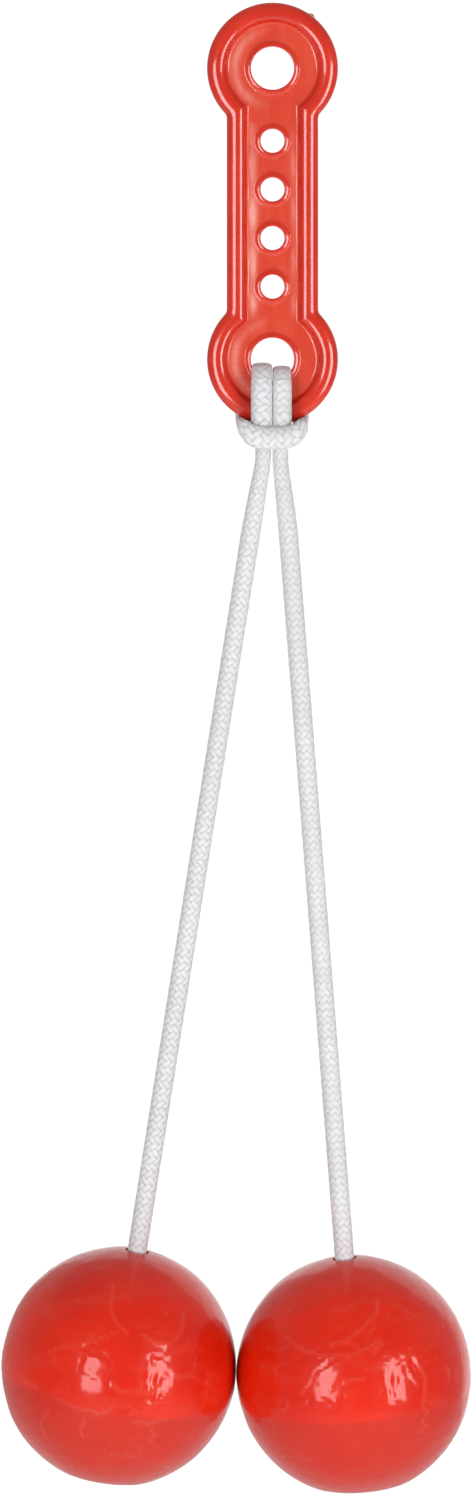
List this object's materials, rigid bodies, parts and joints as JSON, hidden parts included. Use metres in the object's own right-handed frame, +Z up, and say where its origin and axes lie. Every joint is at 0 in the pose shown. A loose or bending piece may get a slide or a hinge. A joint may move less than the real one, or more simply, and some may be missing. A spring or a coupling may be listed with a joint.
{
  "type": "clackers toy",
  "caption": "Clackers toy: a pair of glossy balls hung on one braided cord, which is cow-hitched round the eye of a flat dog-bone handle.",
  "frame": {"origin": "centre of the hole in the handle's upper eye, on the handle's mid-plane", "axes": "+Z up along the handle, away from the balls; Y along the holes of the eyes, with the front at -Y; +X to the right seen from the front"},
  "size_m": [0.0804, 0.04, 0.2549],
  "materials": {
    "handle_plastic": "glossy moulded red plastic, faintly mottled on the web",
    "ball_plastic": "glossy, slightly translucent red plastic with flow marks and a parting line",
    "braided_cord": "matte white braid"
  },
  "bodies": {
    "handle": {"handle": "handle_plastic"},
    "hitch": {"cord_hitch": "braided_cord"},
    "left_neck": {"left_neck": "braided_cord"},
    "left_leg": {"left_leg": "braided_cord"},
    "left_tail": {"left_tail": "braided_cord", "left_knot": "braided_cord"},
    "left_ball": {"left_ball": "ball_plastic"},
    "right_neck": {"right_neck": "braided_cord"},
    "right_leg": {"right_leg": "braided_cord"},
    "right_tail": {"right_tail": "braided_cord", "right_knot": "braided_cord"},
    "right_ball": {"right_ball": "ball_plastic"}
  },
  "joints": [
    {"name": "hitch_slide", "type": "hinge", "parent": "handle", "child": "hitch", "pos_m": [0, 0, -0.05], "axis": [0, 1, 0], "range_deg": [-90, 90]},
    {"name": "left_sway", "type": "hinge", "parent": "hitch", "child": "left_neck", "pos_m": [-0.00175, 0, -0.06728], "axis": [1, 0, 0], "range_deg": [-85, 85]},
    {"name": "left_swing", "type": "hinge", "parent": "left_neck", "child": "left_leg", "pos_m": [-0.00331, 0, -0.07716], "axis": [0, 1, 0], "range_deg": [0, 100]},
    {"name": "left_tilt", "type": "hinge", "parent": "left_leg", "child": "left_tail", "pos_m": [-0.02297, 0, -0.20136], "axis": [1, 0, 0], "range_deg": [-60, 60]},
    {"name": "left_spin", "type": "hinge", "parent": "left_tail", "child": "left_ball", "pos_m": [-0.02642, 0, -0.22314], "axis": [0.1563, 0, 0.9877], "continuous": true},
    {"name": "right_sway", "type": "hinge", "parent": "hitch", "child": "right_neck", "pos_m": [0.00175, 0, -0.06728], "axis": [1, 0, 0], "range_deg": [-85, 85]},
    {"name": "right_swing", "type": "hinge", "parent": "right_neck", "child": "right_leg", "pos_m": [0.00252, 0, -0.07725], "axis": [0, -1, 0], "range_deg": [0, 100]},
    {"name": "right_tilt", "type": "hinge", "parent": "right_leg", "child": "right_tail", "pos_m": [0.01225, 0, -0.20262], "axis": [1, 0, 0], "range_deg": [-60, 60]},
    {"name": "right_spin", "type": "hinge", "parent": "right_tail", "child": "right_ball", "pos_m": [0.01395, 0, -0.22461], "axis": [-0.0773, 0, 0.997], "continuous": true}
  ]
}
